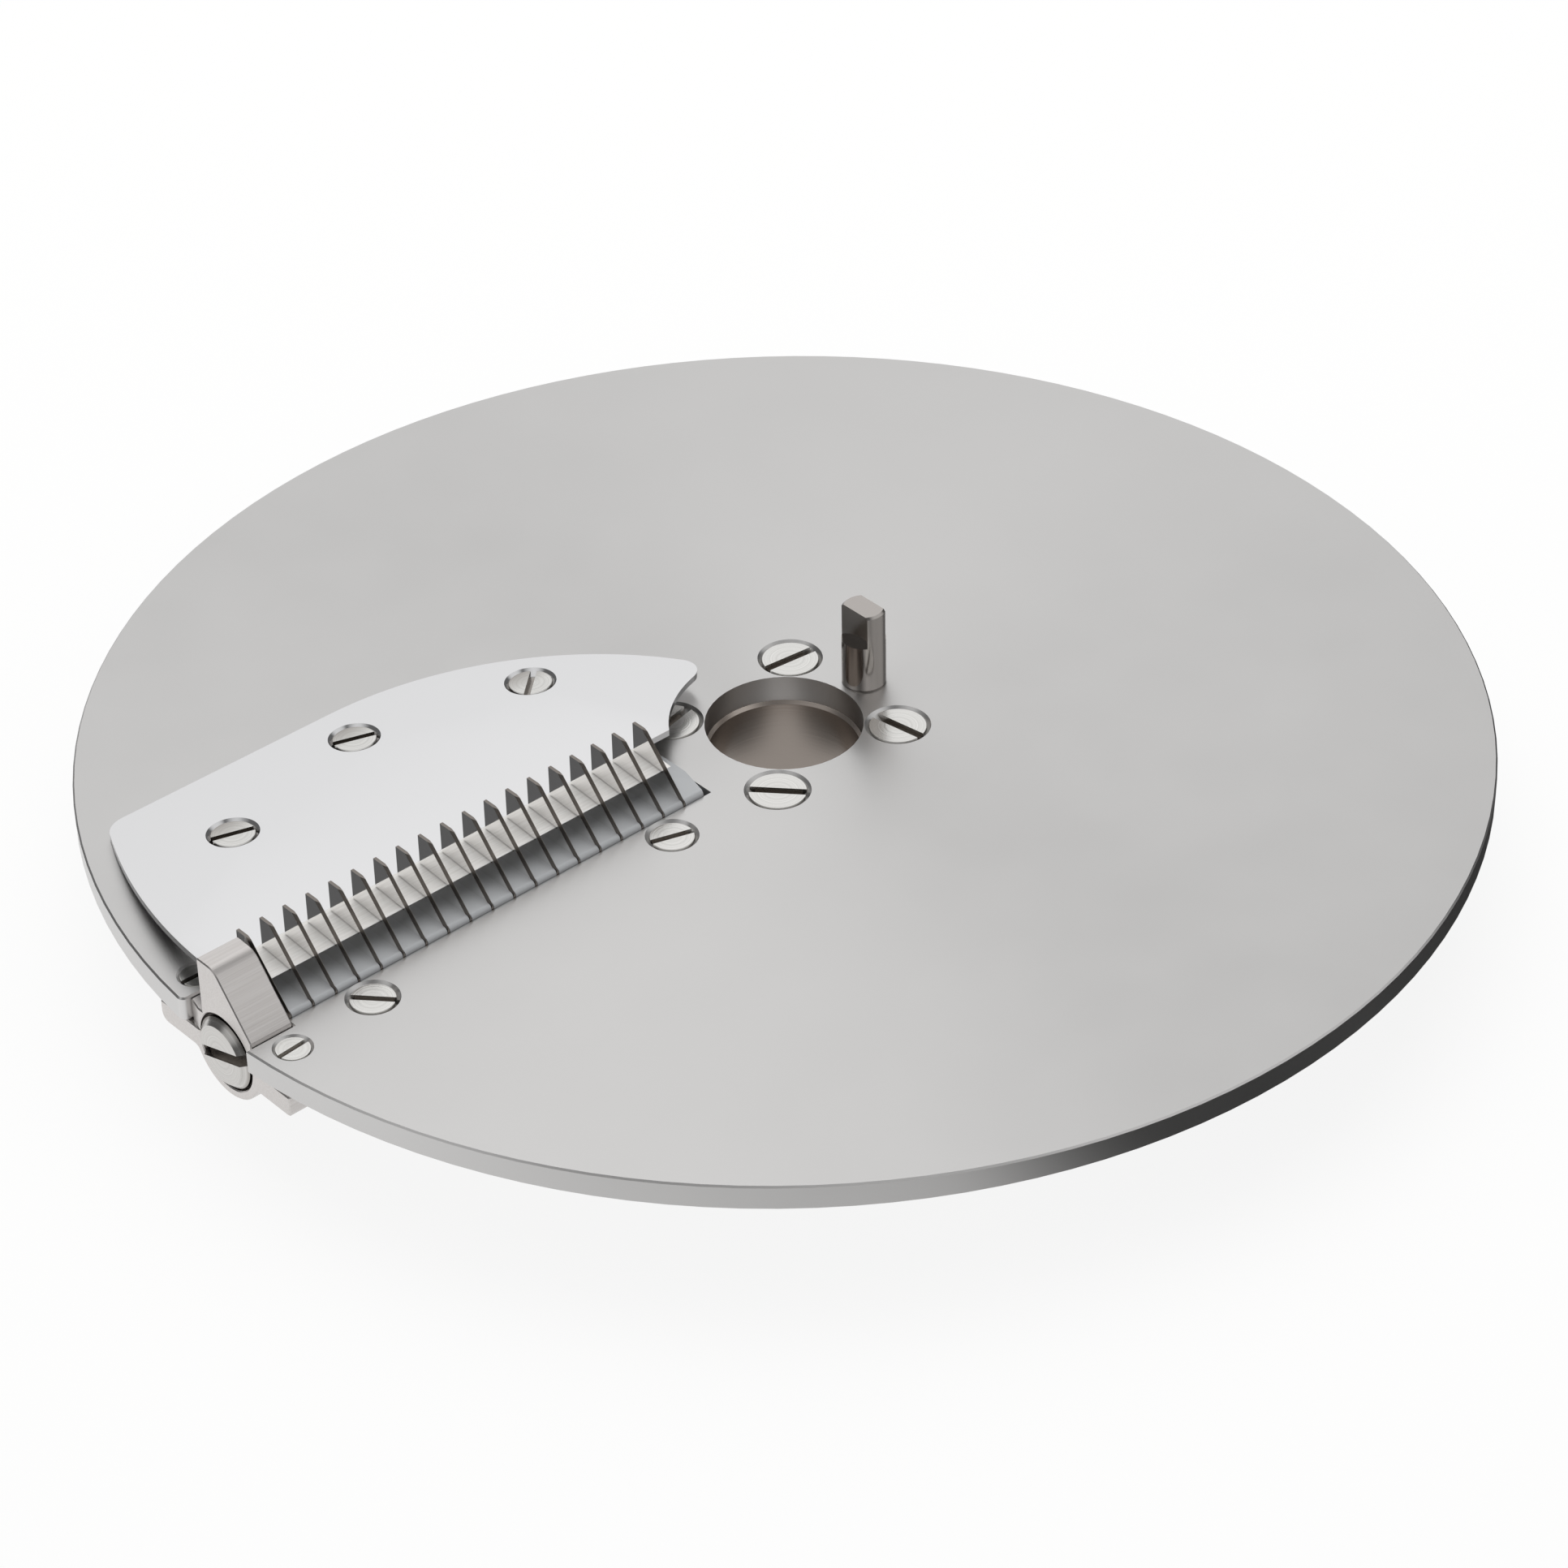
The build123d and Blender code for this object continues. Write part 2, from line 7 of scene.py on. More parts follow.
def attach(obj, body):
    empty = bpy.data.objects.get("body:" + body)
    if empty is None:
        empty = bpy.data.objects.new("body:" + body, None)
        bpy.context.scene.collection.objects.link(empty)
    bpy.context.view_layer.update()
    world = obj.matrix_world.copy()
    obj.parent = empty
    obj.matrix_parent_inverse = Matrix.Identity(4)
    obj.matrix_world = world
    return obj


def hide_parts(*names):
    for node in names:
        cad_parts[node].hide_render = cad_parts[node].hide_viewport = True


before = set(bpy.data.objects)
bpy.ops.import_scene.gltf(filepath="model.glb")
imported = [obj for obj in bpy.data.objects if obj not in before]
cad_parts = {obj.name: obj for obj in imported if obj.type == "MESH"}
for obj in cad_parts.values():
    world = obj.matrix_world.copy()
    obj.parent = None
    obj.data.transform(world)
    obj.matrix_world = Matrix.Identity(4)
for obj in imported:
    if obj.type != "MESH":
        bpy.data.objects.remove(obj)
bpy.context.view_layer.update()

mm = 0.001
body = "root"            # nothing moves, so every piece rides on the one body


# sRGB hex to a linear colour with alpha
def linear(hexColour):
    parts = [int(hexColour[i:i + 2], 16) / 255 for i in (0, 2, 4)]
    return [c / 12.92 if c <= 0.04045 else ((c + 0.055) / 1.055) ** 2.4 for c in parts] + [1.0]


def addNode(tree, kind, settings=None, inputs=None, links=None):
    node = tree.nodes.new(kind)
    for name, value in (settings or {}).items():
        setattr(node, name, value)
    for name, value in (inputs or {}).items():
        node.inputs[name].default_value = value
    for name, source in (links or {}).items():
        tree.links.new(source, node.inputs[name])
    return node


# Camera, as the photograph was taken, worked out from the ellipses of the rim and the bore
cameraSettings = {
    "place": (-461.97, -528.64, 523.92),    # mm
    "aim": (-12.30, -13.72, 25.0),          # mm
    "roll": -1.251,                         # degrees
    "lens": 111.98,                         # mm, on the sensor below
    "sensor": 36.0,
    "nearest": 10,                          # mm, what is nearer isn't drawn
}


def makeCamera(s):
    data = bpy.data.cameras.new("camera")
    data.lens = s["lens"]
    data.sensor_width = s["sensor"]
    data.sensor_fit = "AUTO"
    data.clip_start = s["nearest"] * mm
    camera = bpy.data.objects.new("camera", data)
    bpy.context.scene.collection.objects.link(camera)
    place = Vector(s["place"]) * mm
    view = (Vector(s["aim"]) * mm - place).to_track_quat("-Z", "Y")
    roll = Matrix.Rotation(math.radians(s["roll"]), 4, "Z")
    camera.matrix_world = Matrix.Translation(place) @ view.to_matrix().to_4x4() @ roll
    bpy.context.scene.camera = camera


# Studio: away is the direction the camera looks in, on the level, and right is to its right
away = Vector((0.6577, 0.7533, 0))
right = Vector((0.7533, -0.6577, 0))
up = Vector((0, 0, 1))
studioSettings = {
    # Each softbox: degrees to the right of away, degrees up, degrees from its middle
    # that are at full light, degrees from its middle where it ends, level
    "softboxes": {
        "behind": (-4, 41, 5, 34, 0.88),
        "overhead": (-80, 79, 22, 40, 0.87),
        "rightHand": (98, 32, 16, 40, 0.64),
        "lowRight": (148, 24, 10, 31, 0.5),
        "lowFront": (172, 22, 8, 27, 0.5),
        "lowLeft": (-120, 22, 8, 27, 0.5),
    },
    "roomLevel": 0.13,                      # the dark room around the softboxes
    # The lamp casts the shadow and lights what isn't mirror bright
    "lampAway": 0.55, "lampHeight": 1.0,    # m
    "lampSize": 1.6,                        # m
    "lampPower": 9.0,                       # W
}

# Pale floor. The eye sees it nearly white, and the steel mirrors it as a lit table, whose light
# and shade are painted into its glow
floorSettings = {
    "halfSize": 3.0,                                    # m
    "colour": "F2F2F0",
    "shadow": 0.12,                                     # share of its look that takes a shadow
    # Painted glow, brightest to the left, and painted dark to the right as if a black card
    # stood there: mm to the right of the axis
    "leftAt": -120, "leftLevel": 1.0,
    "rightAt": 75, "rightLevel": 0.5,
    "paintedDarkFrom": 34, "paintedDarkTo": 80, "paintedDarkLevel": 0.06,
    # Where the table ends and the dark room starts: mm from the axis
    "roomFrom": 200, "roomTo": 280, "roomLevel": 0.15,
    # Inside the hub the glow is painted shade, but for a painted strip of light down the bore
    "shadeFrom": 14, "shadeTo": 19,                     # mm from the axis
    "stripFrom": 2, "stripTo": 12,                      # mm to either side of the axis
    "stripLevel": 0.85, "stripEdge": 0.2,
}


def makeWorld(s):
    world = bpy.data.worlds.new("studio")
    bpy.context.scene.world = world
    world.use_nodes = True
    tree = world.node_tree
    tree.nodes.clear()
    coords = addNode(tree, "ShaderNodeTexCoord")
    level = addNode(tree, "ShaderNodeValue")
    level.outputs[0].default_value = s["roomLevel"]
    for turned, raised, core, end, strength in s["softboxes"].values():
        turned, raised = math.radians(turned), math.radians(raised)
        onLevel = away * math.cos(turned) + right * math.sin(turned)
        middle = onLevel * math.cos(raised) + up * math.sin(raised)
        facing = addNode(tree, "ShaderNodeVectorMath", {"operation": "DOT_PRODUCT"},
                         {1: middle}, {0: coords.outputs["Generated"]})
        glow = addNode(tree, "ShaderNodeMapRange", {"interpolation_type": "SMOOTHSTEP"}, {
            "From Min": math.cos(math.radians(end)),
            "From Max": math.cos(math.radians(core)),
            "To Max": strength,
        }, {"Value": facing.outputs["Value"]})
        level = addNode(tree, "ShaderNodeMath", {"operation": "ADD"},
                        links={0: level.outputs[0], 1: glow.outputs["Result"]})
    studio = addNode(tree, "ShaderNodeBackground", inputs={"Color": linear("FFFFFF")},
                     links={"Strength": level.outputs[0]})
    backdrop = addNode(tree, "ShaderNodeBackground", inputs={"Color": linear("FFFFFF")})
    ray = addNode(tree, "ShaderNodeLightPath")
    mix = addNode(tree, "ShaderNodeMixShader", links={
        0: ray.outputs["Is Camera Ray"], 1: studio.outputs[0], 2: backdrop.outputs[0]})
    addNode(tree, "ShaderNodeOutputWorld", links={"Surface": mix.outputs[0]})


def makeLamp(s):
    data = bpy.data.lights.new("softbox", "AREA")
    data.shape = "DISK"
    data.size = s["lampSize"]
    data.energy = s["lampPower"]
    lamp = bpy.data.objects.new("softbox", data)
    bpy.context.scene.collection.objects.link(lamp)
    place = away * s["lampAway"] + up * s["lampHeight"]
    turn = place.to_track_quat("Z", "Y").to_matrix().to_4x4()    # it faces the origin
    lamp.matrix_world = Matrix.Translation(place) @ turn
    lamp.visible_glossy = False


# Matt paint for other rays, nearly white for the camera, and for mirrored rays a glow with
# painted light and shade, as of a lit table
def paleFloorPaint(s):
    material = bpy.data.materials.new("paleFloor")
    material.use_nodes = True
    tree = material.node_tree
    tree.nodes.clear()
    paint = addNode(tree, "ShaderNodeBsdfDiffuse", inputs={"Color": linear(s["colour"])})
    white = addNode(tree, "ShaderNodeEmission", inputs={"Color": linear("FFFFFF")})
    seen = addNode(tree, "ShaderNodeMixShader", {}, {0: 1 - s["shadow"]},
                   {1: paint.outputs[0], 2: white.outputs[0]})
    coords = addNode(tree, "ShaderNodeTexCoord")
    side = addNode(tree, "ShaderNodeVectorMath", {"operation": "DOT_PRODUCT"},
                   {1: right}, {0: coords.outputs["Object"]})
    beside = addNode(tree, "ShaderNodeMath", {"operation": "ABSOLUTE"},
                     links={0: side.outputs["Value"]})
    outward = addNode(tree, "ShaderNodeVectorMath", {"operation": "LENGTH"},
                      links={0: coords.outputs["Object"]})
    fall = addNode(tree, "ShaderNodeMapRange", {}, {
        "From Min": s["leftAt"] * mm, "From Max": s["rightAt"] * mm,
        "To Min": s["leftLevel"], "To Max": s["rightLevel"],
    }, {"Value": side.outputs["Value"]})
    # Painted shade: the mirrored glow is darkened to the right, standing in for a black card
    paintedDark = addNode(tree, "ShaderNodeMapRange", {"interpolation_type": "SMOOTHSTEP"}, {
        "From Min": s["paintedDarkFrom"] * mm, "From Max": s["paintedDarkTo"] * mm,
        "To Min": 1.0, "To Max": s["paintedDarkLevel"],
    }, {"Value": side.outputs["Value"]})
    room = addNode(tree, "ShaderNodeMapRange", {"interpolation_type": "SMOOTHSTEP"}, {
        "From Min": s["roomFrom"] * mm, "From Max": s["roomTo"] * mm,
        "To Min": 1.0, "To Max": s["roomLevel"],
    }, {"Value": outward.outputs["Value"]})
    strip = addNode(tree, "ShaderNodeMapRange", {"interpolation_type": "SMOOTHSTEP"}, {
        "From Min": s["stripFrom"] * mm, "From Max": s["stripTo"] * mm,
        "To Min": s["stripLevel"], "To Max": s["stripEdge"],
    }, {"Value": beside.outputs[0]})
    outside = addNode(tree, "ShaderNodeMapRange", {"interpolation_type": "SMOOTHSTEP"}, {
        "From Min": s["shadeFrom"] * mm, "From Max": s["shadeTo"] * mm,
    }, {"Value": outward.outputs["Value"]})
    shade = addNode(tree, "ShaderNodeMix", {"data_type": "FLOAT"}, links={
        "Factor": outside.outputs["Result"],
        "A": strip.outputs["Result"],
        "B": room.outputs["Result"],
    })
    lit = addNode(tree, "ShaderNodeMath", {"operation": "MULTIPLY"},
                  links={0: fall.outputs["Result"], 1: paintedDark.outputs["Result"]})
    shown = addNode(tree, "ShaderNodeMath", {"operation": "MULTIPLY"},
                    links={0: lit.outputs[0], 1: shade.outputs["Result"]})
    mirrored = addNode(tree, "ShaderNodeEmission", links={"Strength": shown.outputs[0]})
    ray = addNode(tree, "ShaderNodeLightPath")
    gloss = addNode(tree, "ShaderNodeMixShader", links={
        0: ray.outputs["Is Glossy Ray"], 1: paint.outputs[0], 2: mirrored.outputs[0]})
    mix = addNode(tree, "ShaderNodeMixShader", links={
        0: ray.outputs["Is Camera Ray"], 1: gloss.outputs[0], 2: seen.outputs[0]})
    addNode(tree, "ShaderNodeOutputMaterial", links={"Surface": mix.outputs[0]})
    return material


def makeFloor(s):
    form = bmesh.new()
    bmesh.ops.create_grid(form, x_segments=1, y_segments=1, size=s["halfSize"])
    mesh = bpy.data.meshes.new("floor")
    form.to_mesh(mesh)
    form.free()
    mesh.materials.append(paleFloorPaint(s))
    floor = bpy.data.objects.new("floor", mesh)
    bpy.context.scene.collection.objects.link(floor)


# Bare metal: the shader with what is the same all over it. The caller links what varies
def steel(name, s):
    material = bpy.data.materials.new(name)
    material.use_nodes = True
    tree = material.node_tree
    tree.nodes.clear()
    plain = {"Metallic": s.get("metallic", 1.0), "Anisotropic": s.get("spreadAcross", 0.0)}
    if "colour" in s:
        plain["Base Color"] = linear(s["colour"])
    if "roughness" in s:
        plain["Roughness"] = s["roughness"]
    shader = addNode(tree, "ShaderNodeBsdfPrincipled", inputs=plain)
    addNode(tree, "ShaderNodeOutputMaterial", links={"Surface": shader.outputs[0]})
    return material, tree, shader


# Noise whose grains have a size in mm along each axis, turned in degrees about Z
def grained(tree, place, size, turned=0, detail=2.0):
    stretch = addNode(tree, "ShaderNodeMapping", {}, {
        "Rotation": (0, 0, math.radians(turned)),
        "Scale": [1 / (edge * mm) for edge in size],
    }, {"Vector": place})
    noise = addNode(tree, "ShaderNodeTexNoise", {}, {"Scale": 1.0, "Detail": detail},
                    {"Vector": stretch.outputs[0]})
    return noise.outputs[0]


# Stainless plate, turned and then blasted: satin, and its glow spreads across the round marks
discFinish = {
    "colour": "D2D1D0", "spreadAcross": 0.8,
    "roughnessLow": 0.28, "roughnessHigh": 0.34,
    "cloudSize": 22,         # mm, patches where the blasting was finer or coarser
    "markPitch": 0.6,        # mm, turned marks, really 0.2, as coarse as the render can show
    "markShare": 0.35,       # their height next to the grain's
    "grainSize": 0.4,        # mm, blasted grain, really 0.1, drawn coarser for the same reason
    "detail": 3.0,           # finer layers of the marks and the patches
    "depth": 0.02, "strength": 0.3,
    "rimLift": 20,           # mm, turns the spread upwards on the rim, which faces outward
}


def turnedDiscSteel(s):
    material, tree, shader = steel("turnedDiscSteel", s)
    place = addNode(tree, "ShaderNodeTexCoord").outputs["Object"]
    flat = addNode(tree, "ShaderNodeVectorMath", {"operation": "MULTIPLY"}, {1: (1, 1, 0)},
                   {0: place})
    outward = addNode(tree, "ShaderNodeVectorMath", {"operation": "ADD"},
                      {1: (0, 0, s["rimLift"] * mm)}, {0: flat.outputs[0]})
    radius = addNode(tree, "ShaderNodeVectorMath", {"operation": "LENGTH"},
                     links={0: flat.outputs[0]})
    marks = addNode(tree, "ShaderNodeTexNoise", {"noise_dimensions": "1D"},
                    {"Scale": 1 / (s["markPitch"] * mm), "Detail": s["detail"]},
                    {"W": radius.outputs["Value"]})
    grain = grained(tree, place, [s["grainSize"]] * 3)
    height = addNode(tree, "ShaderNodeMath", {"operation": "MULTIPLY_ADD"},
                     {1: s["markShare"]}, {0: marks.outputs[0], 2: grain})
    bump = addNode(tree, "ShaderNodeBump", {},
                   {"Distance": s["depth"] * mm, "Strength": s["strength"]},
                   {"Height": height.outputs[0]})
    cloud = grained(tree, place, [s["cloudSize"]] * 3, detail=s["detail"])
    roughness = addNode(tree, "ShaderNodeMapRange", {},
                        {"To Min": s["roughnessLow"], "To Max": s["roughnessHigh"]},
                        {"Value": cloud})
    tree.links.new(outward.outputs[0], shader.inputs["Tangent"])
    tree.links.new(bump.outputs[0], shader.inputs["Normal"])
    tree.links.new(roughness.outputs["Result"], shader.inputs["Roughness"])
    return material


# Hardened blade steel: its top is polished, its bevel ground in fine slanting lines
bladeFinish = {
    "bevelRear": 6.6,        # mm in Y, the line between the bevel and the top
    "topColour": "E2E2E3", "bevelLineColours": ("DAD7D2", "FAF9F7"),
    "topRoughness": 0.12, "bevelRoughness": 0.74,
    "topMetallic": 1.0,
    "bevelMetallic": 0.2,    # the coarse wheel marks scatter light as a matt surface does
    "lineSize": (8, 0.35, 2.5), "lineTurn": -33,    # mm, wheel marks, really 0.1 apart
    "depth": 0.03, "strength": 0.5,
}


def polishedBladeSteel(s):
    material, tree, shader = steel("polishedBladeSteel", s)
    place = addNode(tree, "ShaderNodeTexCoord").outputs["Object"]
    split = addNode(tree, "ShaderNodeSeparateXYZ", links={0: place})
    bevel = addNode(tree, "ShaderNodeMath", {"operation": "LESS_THAN"},
                    {1: s["bevelRear"] * mm}, {0: split.outputs["Y"]}).outputs[0]
    lines = grained(tree, place, s["lineSize"], s["lineTurn"])
    low, high = s["bevelLineColours"]
    ground = addNode(tree, "ShaderNodeMix", {"data_type": "RGBA"},
                     {"A": linear(low), "B": linear(high)}, {"Factor": lines})
    tone = addNode(tree, "ShaderNodeMix", {"data_type": "RGBA"}, {"A": linear(s["topColour"])},
                   {"Factor": bevel, "B": ground.outputs["Result"]})
    roughness = addNode(tree, "ShaderNodeMapRange", {},
                        {"To Min": s["topRoughness"], "To Max": s["bevelRoughness"]},
                        {"Value": bevel})
    metallic = addNode(tree, "ShaderNodeMapRange", {},
                       {"To Min": s["topMetallic"], "To Max": s["bevelMetallic"]},
                       {"Value": bevel})
    height = addNode(tree, "ShaderNodeMath", {"operation": "MULTIPLY"},
                     links={0: lines, 1: bevel})
    bump = addNode(tree, "ShaderNodeBump", {},
                   {"Distance": s["depth"] * mm, "Strength": s["strength"]},
                   {"Height": height.outputs[0]})
    tree.links.new(tone.outputs["Result"], shader.inputs["Base Color"])
    tree.links.new(roughness.outputs["Result"], shader.inputs["Roughness"])
    tree.links.new(metallic.outputs["Result"], shader.inputs["Metallic"])
    tree.links.new(bump.outputs[0], shader.inputs["Normal"])
    return material


# Thin hardened strip, mirror bright on its flat sides. Its ground edges, crest and tips are
# rougher, and painted darker as shade
knifeFinish = {
    # The edges' dark colour is painted shade, not the steel's own
    "sideColour": "F4F3F2", "edgeShadeColour": "86807B",
    "sideRoughness": 0.08, "edgeRoughness": 0.32,
    "sideFacing": 0.97,      # how squarely a face must face along the comb to be a flat side
}


def polishedKnifeSteel(s):
    material, tree, shader = steel("polishedKnifeSteel", s)
    coords = addNode(tree, "ShaderNodeTexCoord")
    split = addNode(tree, "ShaderNodeSeparateXYZ", links={0: coords.outputs["Normal"]})
    facing = addNode(tree, "ShaderNodeMath", {"operation": "ABSOLUTE"},
                     links={0: split.outputs["X"]})
    edge = addNode(tree, "ShaderNodeMath", {"operation": "LESS_THAN"}, {1: s["sideFacing"]},
                   {0: facing.outputs[0]}).outputs[0]
    # Painted shade: every face that isn't a flat side gets the dark colour
    tone = addNode(tree, "ShaderNodeMix", {"data_type": "RGBA"},
                   {"A": linear(s["sideColour"]), "B": linear(s["edgeShadeColour"])},
                   {"Factor": edge})
    roughness = addNode(tree, "ShaderNodeMapRange", {},
                        {"To Min": s["sideRoughness"], "To Max": s["edgeRoughness"]},
                        {"Value": edge})
    tree.links.new(tone.outputs["Result"], shader.inputs["Base Color"])
    tree.links.new(roughness.outputs["Result"], shader.inputs["Roughness"])
    return material


# Milled bar, bead blasted: evenly grey, as its fine pits scatter part of the light
spacerFinish = {
    "colour": "B7B9BB", "roughness": 0.52, "metallic": 0.55,
    "lineSize": (0.5, 4, 0.5),
    "depth": 0.02, "strength": 0.2,
}

# Surface-ground tool steel, faintly warm, with straight grinding lines along the comb
blockFinish = {
    "lineColours": ("C1BCB9", "DDDAD8"), "roughness": 0.32,
    "lineSize": (16, 0.28, 0.28),
    "depth": 0.03, "strength": 0.6,
}

# Darker turned steel, with the marks of the boring tool round the bore
hubFinish = {
    "colour": "B5ABA3", "roughness": 0.24,
    "lineSize": (25, 25, 0.4),
    "depth": 0.02, "strength": 0.4,
}

# Hardened and drawn pin, smooth and a little brown, with faint lines along it
pinFinish = {
    "colour": "B2ADA9", "roughness": 0.15,
    "lineSize": (0.4, 0.4, 12),
    "depth": 0.01, "strength": 0.3,
}

# Milled bar under the plate, satin and light, with marks across it
carrierFinish = {
    "colour": "CDCCC9", "roughness": 0.32,
    "lineSize": (0.6, 8, 8),
    "depth": 0.02, "strength": 0.4,
}


# Steel with fine marks from how it was cut, ground, bored or drawn. They are really 0.1 to
# 0.2 mm apart, and lineSize, in mm, draws them as coarse as the render can show
def linedSteel(name, s):
    material, tree, shader = steel(name, s)
    place = addNode(tree, "ShaderNodeTexCoord").outputs["Object"]
    lines = grained(tree, place, s["lineSize"])
    if "lineColours" in s:
        low, high = s["lineColours"]
        tone = addNode(tree, "ShaderNodeMix", {"data_type": "RGBA"},
                       {"A": linear(low), "B": linear(high)}, {"Factor": lines})
        tree.links.new(tone.outputs["Result"], shader.inputs["Base Color"])
    bump = addNode(tree, "ShaderNodeBump", {},
                   {"Distance": s["depth"] * mm, "Strength": s["strength"]},
                   {"Height": lines})
    tree.links.new(bump.outputs[0], shader.inputs["Normal"])
    return material


# Stainless screw heads, faced on a lathe: bright, with round marks about each one's axis
screwFinish = {
    "roughness": 0.22,
    "ringPitch": 0.45,       # mm, facing marks, really 0.15, drawn so that they show
    "ringColours": ("C6C5C2", "F0EFEC"),
    "depth": 0.02, "strength": 0.7,
    # The slot is painted darker as shade, from so far below the head's face, in mm, to so far
    # below it
    "slotShadeFrom": 0.25, "slotShadeTo": 0.7, "slotShadeColour": "9A9590",
}

# The tie screw's larger head is duller, and the painted shade in its slot starts deeper
tieFinish = dict(screwFinish, ringColours=("B8B6B3", "D8D6D3"), slotShadeFrom=0.6, slotShadeTo=1.2)


def facedScrewSteel(name, s):
    material, tree, shader = steel(name, s)
    offset = addNode(tree, "ShaderNodeAttribute", {"attribute_name": "fromAxis"})
    radius = addNode(tree, "ShaderNodeVectorMath", {"operation": "LENGTH"},
                     links={0: offset.outputs["Vector"]})
    rings = addNode(tree, "ShaderNodeTexNoise", {"noise_dimensions": "1D"},
                    {"Scale": 1 / (s["ringPitch"] * mm), "Detail": 2.0},
                    {"W": radius.outputs["Value"]})
    low, high = s["ringColours"]
    faced = addNode(tree, "ShaderNodeMix", {"data_type": "RGBA"},
                    {"A": linear(low), "B": linear(high)}, {"Factor": rings.outputs[0]})
    below = addNode(tree, "ShaderNodeAttribute", {"attribute_name": "belowFace"})
    # Painted shade: the slot darkens with depth below the head's face
    slotShade = addNode(tree, "ShaderNodeMapRange", {},
                  {"From Min": s["slotShadeFrom"] * mm, "From Max": s["slotShadeTo"] * mm},
                  {"Value": below.outputs["Fac"]})
    tone = addNode(tree, "ShaderNodeMix", {"data_type": "RGBA"}, {"B": linear(s["slotShadeColour"])},
                   {"Factor": slotShade.outputs["Result"], "A": faced.outputs["Result"]})
    bump = addNode(tree, "ShaderNodeBump", {},
                   {"Distance": s["depth"] * mm, "Strength": s["strength"]},
                   {"Height": rings.outputs[0]})
    tree.links.new(tone.outputs["Result"], shader.inputs["Base Color"])
    tree.links.new(bump.outputs[0], shader.inputs["Normal"])
    return material


# Pieces
pieceSettings = {
    "mergeWithin": 0.001,    # mm
    "sharpAbove": 28,        # degrees between two faces at an edge that stays sharp
}
knifeSettings = {
    "sharpAbove": 7,         # the knives have bevels as shallow as 14 degrees
    "edgeThickness": 0.25,   # share of its thickness that a knife's front edge is honed to
    "sideWithin": 0.95,      # what lies nearer its middle than this share of half its thickness
                             # is the edge, and the rest is its flat sides
}
blockSettings = {
    "chamfer": 0.2,          # mm, on the end block's edges
    "flatWithin": 0.5,       # degrees, faces this near to one plane are one face
}


# Each screw's points get their offset from that screw's own axis, and how far below the
# face of its head they are
def writeOffsets(form, axis):
    fromAxis = form.verts.layers.float_vector.new("fromAxis")
    belowFace = form.verts.layers.float.new("belowFace")
    left = set(form.verts)
    while left:
        screw = [left.pop()]
        for vert in screw:
            for edge in vert.link_edges:
                other = edge.other_vert(vert)
                if other in left:
                    left.remove(other)
                    screw.append(other)
        low = [min(vert.co[i] for vert in screw) for i in range(3)]
        high = [max(vert.co[i] for vert in screw) for i in range(3)]
        middle = (Vector(low) + Vector(high)) / 2
        face = max(vert.co.dot(axis) for vert in screw)
        for vert in screw:
            offset = vert.co - middle
            vert[fromAxis] = offset - axis * offset.dot(axis)
            vert[belowFace] = face - vert.co.dot(axis)


# A knife's front edge is honed thin, within its own outline
def honeEdge(form, s):
    sides = [vert.co.x for vert in form.verts]
    middle = (min(sides) + max(sides)) / 2
    half = (max(sides) - min(sides)) / 2
    for vert in form.verts:
        if abs(vert.co.x - middle) < half * s["sideWithin"]:
            vert.co.x = middle + (vert.co.x - middle) * s["edgeThickness"]


# Sharp edges get a small flat, as from a file
def breakEdges(form, s):
    bmesh.ops.dissolve_limit(form, angle_limit=math.radians(s["flatWithin"]),
                             verts=form.verts, edges=form.edges)
    least = math.radians(pieceSettings["sharpAbove"])
    sharp = [edge for edge in form.edges if edge.calc_face_angle(0) > least]
    bmesh.ops.bevel(form, geom=sharp, offset=s["chamfer"] * mm, affect="EDGES", segments=1,
                    profile=0.5, material=-1, clamp_overlap=False)
    bmesh.ops.triangulate(form, faces=form.faces)


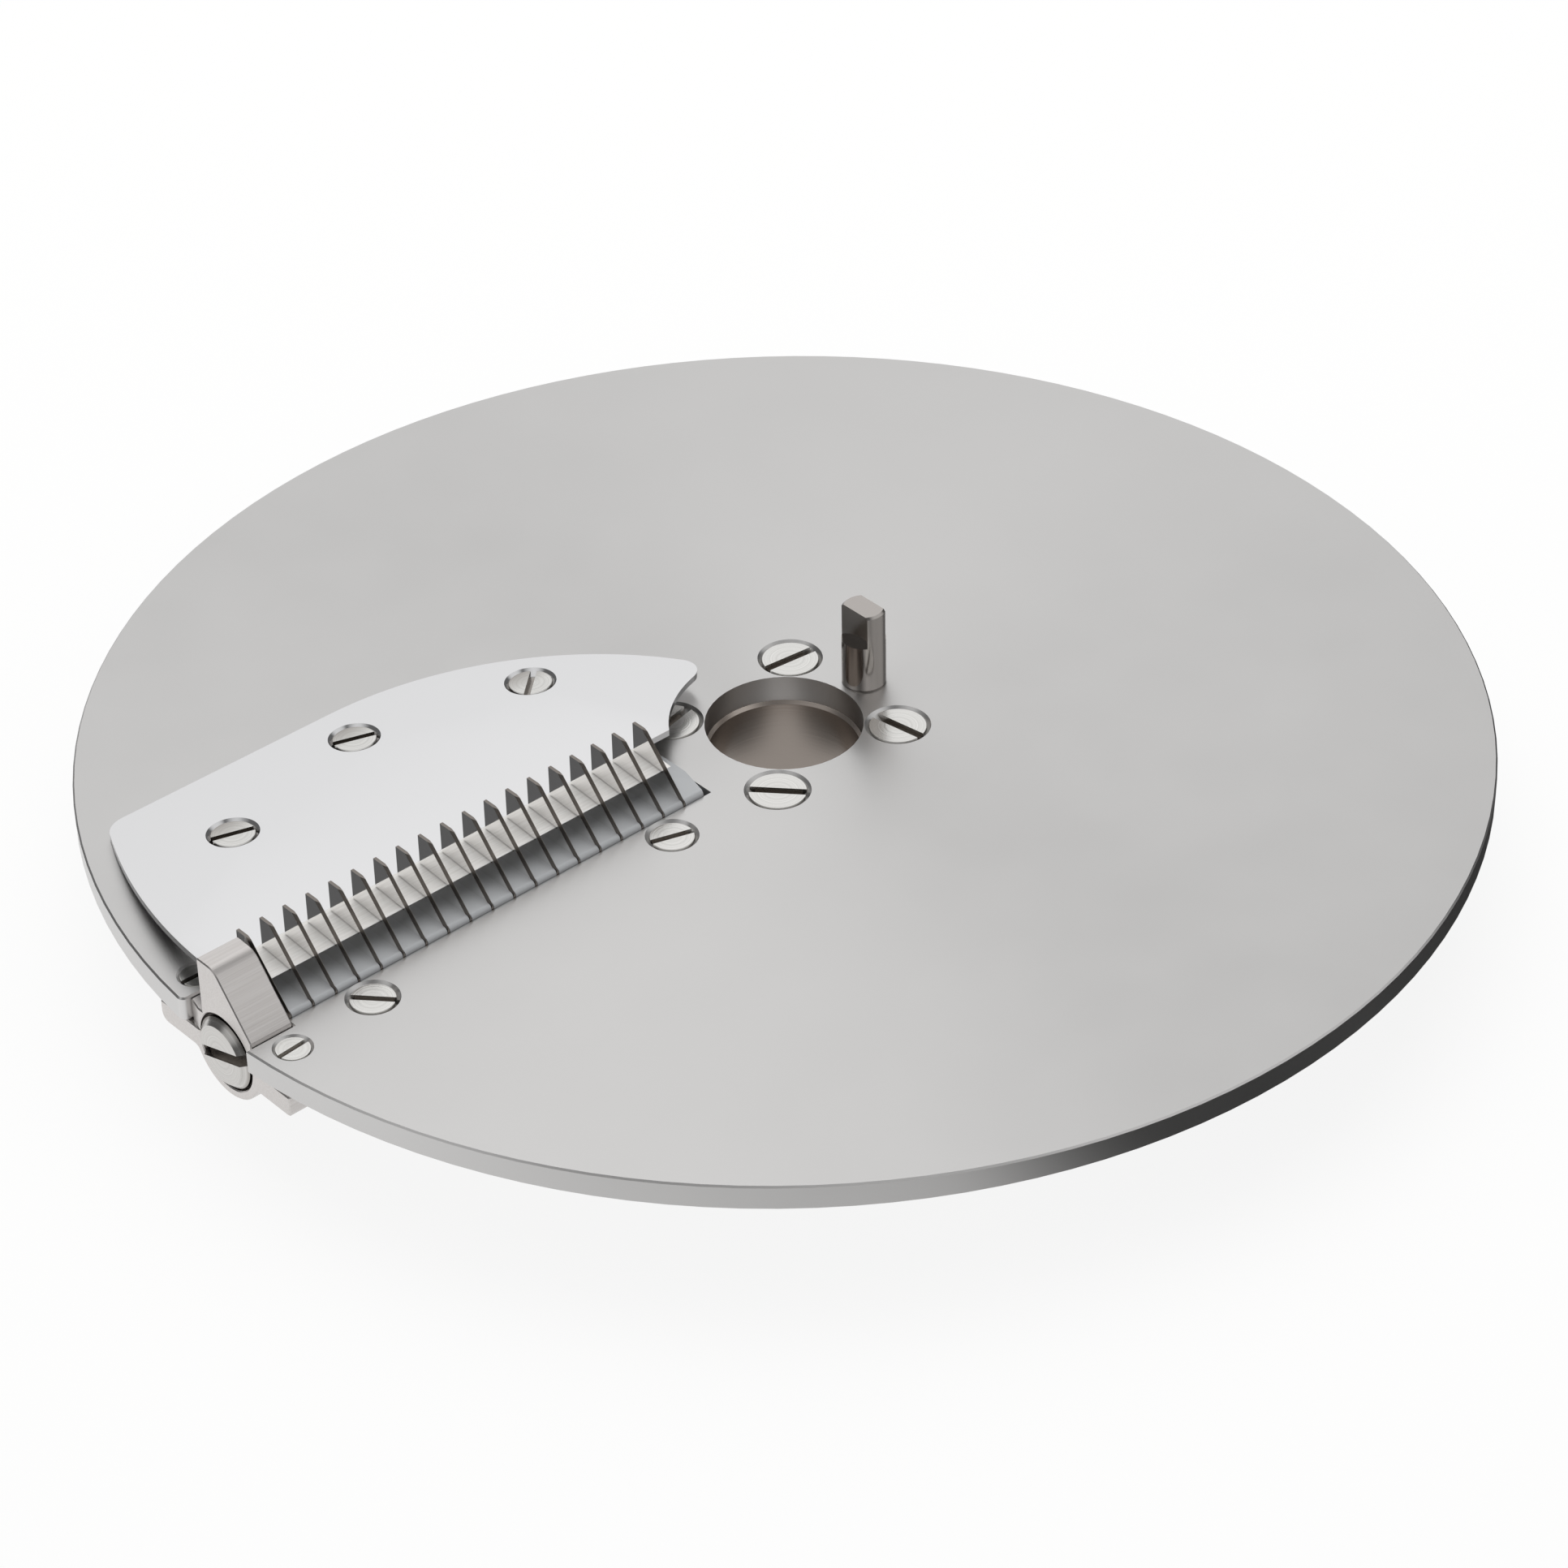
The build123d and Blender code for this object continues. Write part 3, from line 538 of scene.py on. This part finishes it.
# Merged copy of a CAD node with smooth curves and sharp edges, which stands for it
def dressed(node, material):
    form = bmesh.new()
    form.from_mesh(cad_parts[node].data)
    bmesh.ops.remove_doubles(form, verts=form.verts, dist=pieceSettings["mergeWithin"] * mm)
    sharpAbove = pieceSettings["sharpAbove"]
    if node.startswith("comb_knife"):
        honeEdge(form, knifeSettings)
        sharpAbove = knifeSettings["sharpAbove"]
    elif node == "end_block":
        breakEdges(form, blockSettings)
    elif node == "tie_screw":
        writeOffsets(form, Vector((-1, 0, 0)))    # its head faces the rim
    elif node.endswith("screws"):
        writeOffsets(form, up)
    for edge in form.edges:
        edge.smooth = edge.calc_face_angle(0) < math.radians(sharpAbove)
    for face in form.faces:
        face.smooth = True
    mesh = bpy.data.meshes.new(node + "Finished")
    form.to_mesh(mesh)
    form.free()
    mesh.materials.append(material)
    piece = bpy.data.objects.new(node + "Finished", mesh)
    bpy.context.scene.collection.objects.link(piece)
    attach(piece, body)
    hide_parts(node)


makeCamera(cameraSettings)
makeWorld(studioSettings)
makeLamp(studioSettings)
makeFloor(floorSettings)
print("studio ready")

screwSteel = facedScrewSteel("facedScrewSteel", screwFinish)
knifeSteel = polishedKnifeSteel(knifeFinish)
spacerSteel = linedSteel("blastedSpacerSteel", spacerFinish)
finishes = {
    "disc_plate": turnedDiscSteel(discFinish),
    "slicing_blade": polishedBladeSteel(bladeFinish),
    "end_block": linedSteel("groundBlockSteel", blockFinish),
    "inner_end_spacer": spacerSteel,
    "hub": linedSteel("turnedHubSteel", hubFinish),
    "drive_pin": linedSteel("drawnPinSteel", pinFinish),
    "comb_carrier": linedSteel("milledCarrierSteel", carrierFinish),
    "hub_screws": screwSteel,
    "blade_screws": screwSteel,
    "carrier_screws": screwSteel,
    "rim_screws": screwSteel,
    "tie_screw": facedScrewSteel("facedTieSteel", tieFinish),
}
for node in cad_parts:
    if node.startswith("comb_knife"):
        finishes[node] = knifeSteel
    elif node.startswith("comb_spacer"):
        finishes[node] = spacerSteel
print("materials ready")

for node, material in finishes.items():
    dressed(node, material)
print("pieces ready")

view = bpy.context.scene.view_settings
view.view_transform = "Standard"
